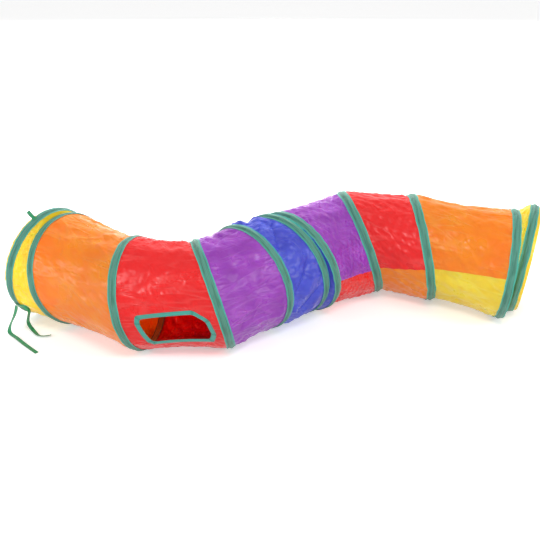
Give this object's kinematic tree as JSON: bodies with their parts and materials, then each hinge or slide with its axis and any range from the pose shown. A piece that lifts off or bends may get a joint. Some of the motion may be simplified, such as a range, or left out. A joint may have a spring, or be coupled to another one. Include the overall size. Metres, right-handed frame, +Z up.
{
  "type": "cat tunnel",
  "caption": "Collapsible fabric play tunnel for cats on sprung wire hoops, lying in a double bend, with a bound window in its side and ribbon ties.",
  "frame": {"origin": "on the floor, under the middle of the tunnel's bounding box, its loose ties left out", "axes": "+X from the left end to the right end, +Y away from the side with the window, +Z up"},
  "size_m": [1.1957, 0.481, 0.2591],
  "materials": {
    "yellow_fabric": "thin crinkled woven nylon, semi-gloss",
    "orange_fabric": "thin crinkled woven nylon, semi-gloss",
    "red_fabric": "thin crinkled woven nylon, semi-gloss",
    "purple_fabric": "thin crinkled woven nylon, semi-gloss",
    "blue_fabric": "thin crinkled woven nylon, semi-gloss",
    "binding_tape": "woven polyester binding tape, stitched along both edges",
    "green_ribbon": "narrow woven satin ribbon",
    "spring_steel": "drawn spring steel wire"
  },
  "bodies": {
    "hoop_00": {"wire_00": "spring_steel", "wire_sleeve_00": "spring_steel", "tape_00": "binding_tape", "hem_left": "yellow_fabric", "tie_patch": "green_ribbon", "tie_stub": "green_ribbon", "tie_long": "green_ribbon", "tie_short": "green_ribbon"},
    "hoop_01": {"wire_01": "spring_steel", "wire_sleeve_01": "spring_steel", "tape_01": "binding_tape", "panel_00_yellow": "yellow_fabric"},
    "hoop_02": {"wire_02": "spring_steel", "wire_sleeve_02": "spring_steel", "tape_02": "binding_tape", "panel_01_orange": "orange_fabric"},
    "hoop_03": {"wire_03": "spring_steel", "wire_sleeve_03": "spring_steel", "tape_03": "binding_tape", "panel_02_red": "red_fabric", "window_binding": "binding_tape"},
    "hoop_04": {"wire_04": "spring_steel", "wire_sleeve_04": "spring_steel", "tape_04": "binding_tape", "panel_03_purple": "purple_fabric"},
    "hoop_05": {"wire_05": "spring_steel", "wire_sleeve_05": "spring_steel", "tape_05": "binding_tape", "panel_04_blue": "blue_fabric", "panel_05_blue": "blue_fabric"},
    "hoop_06": {"wire_06": "spring_steel", "wire_sleeve_06": "spring_steel", "tape_06": "binding_tape", "panel_06_purple": "purple_fabric", "panel_06_red": "red_fabric"},
    "hoop_07": {"wire_07": "spring_steel", "wire_sleeve_07": "spring_steel", "tape_07": "binding_tape", "panel_07_red": "red_fabric", "panel_07_orange": "orange_fabric"},
    "hoop_08": {"wire_08": "spring_steel", "wire_sleeve_08": "spring_steel", "tape_08": "binding_tape", "panel_08_orange": "orange_fabric", "panel_08_yellow": "yellow_fabric"},
    "hoop_09": {"wire_09": "spring_steel", "wire_sleeve_09": "spring_steel", "tape_09": "binding_tape", "panel_09_yellow": "yellow_fabric"},
    "hoop_10": {"wire_10": "spring_steel", "wire_sleeve_10": "spring_steel", "tape_10": "binding_tape", "hem_right": "yellow_fabric"}
  },
  "joints": [
    {"name": "section_00_hinge", "type": "hinge", "parent": "hoop_01", "child": "hoop_00", "pos_m": [-0.49363, 0.02027, 0.23604], "axis": [0.5878, 0.809, 0], "range_deg": [-19, 36.5], "deforming": ["panel_00_yellow"]},
    {"name": "section_01_slide", "type": "slide", "parent": "hoop_02", "child": "hoop_01", "axis": [-0.8191, 0.5736, 0], "range_m": [-0.1305, 0], "stiffness_N_per_m": 40, "deforming": ["panel_01_orange"]},
    {"name": "section_02_slide", "type": "slide", "parent": "hoop_03", "child": "hoop_02", "axis": [-1, 0.0087, 0], "range_m": [-0.068, 0.016], "stiffness_N_per_m": 40, "deforming": ["panel_02_red", "window_binding"]},
    {"name": "section_03_hinge", "type": "hinge", "parent": "hoop_04", "child": "hoop_03", "pos_m": [-0.15458, 0.01973, 0.08029], "axis": [0.2922, -0.1759, -0.94], "range_deg": [-31.9, 17], "deforming": ["panel_03_purple"]},
    {"name": "section_04_slide", "type": "slide", "parent": "hoop_05", "child": "hoop_04", "axis": [-0.7826, -0.6225, 0], "range_m": [-0.061, 0.124], "deforming": ["panel_04_blue"]},
    {"name": "section_05_slide", "type": "slide", "parent": "hoop_05", "child": "hoop_06", "axis": [0.8988, 0.4384, 0], "range_m": [0, 0.184], "deforming": ["panel_05_blue"]},
    {"name": "section_06_slide", "type": "slide", "parent": "hoop_06", "child": "hoop_07", "axis": [0.8241, 0.5664, 0], "range_m": [-0.0858, 0], "stiffness_N_per_m": 40, "deforming": ["panel_06_purple", "panel_06_red"]},
    {"name": "section_07_slide", "type": "slide", "parent": "hoop_07", "child": "hoop_08", "axis": [0.9763, -0.2164, 0], "range_m": [-0.0934, 0.068], "stiffness_N_per_m": 40, "deforming": ["panel_07_red", "panel_07_orange"]},
    {"name": "section_08_slide", "type": "slide", "parent": "hoop_08", "child": "hoop_09", "axis": [0.9171, -0.3987, 0], "range_m": [-0.1336, 0], "stiffness_N_per_m": 40, "deforming": ["panel_08_orange", "panel_08_yellow"]},
    {"name": "section_09_hinge", "type": "hinge", "parent": "hoop_09", "child": "hoop_10", "pos_m": [0.50078, -0.11207, 0.08879], "axis": [-0.0699, 0.2765, -0.9585], "range_deg": [-6.2, 48], "deforming": ["panel_09_yellow"]}
  ]
}
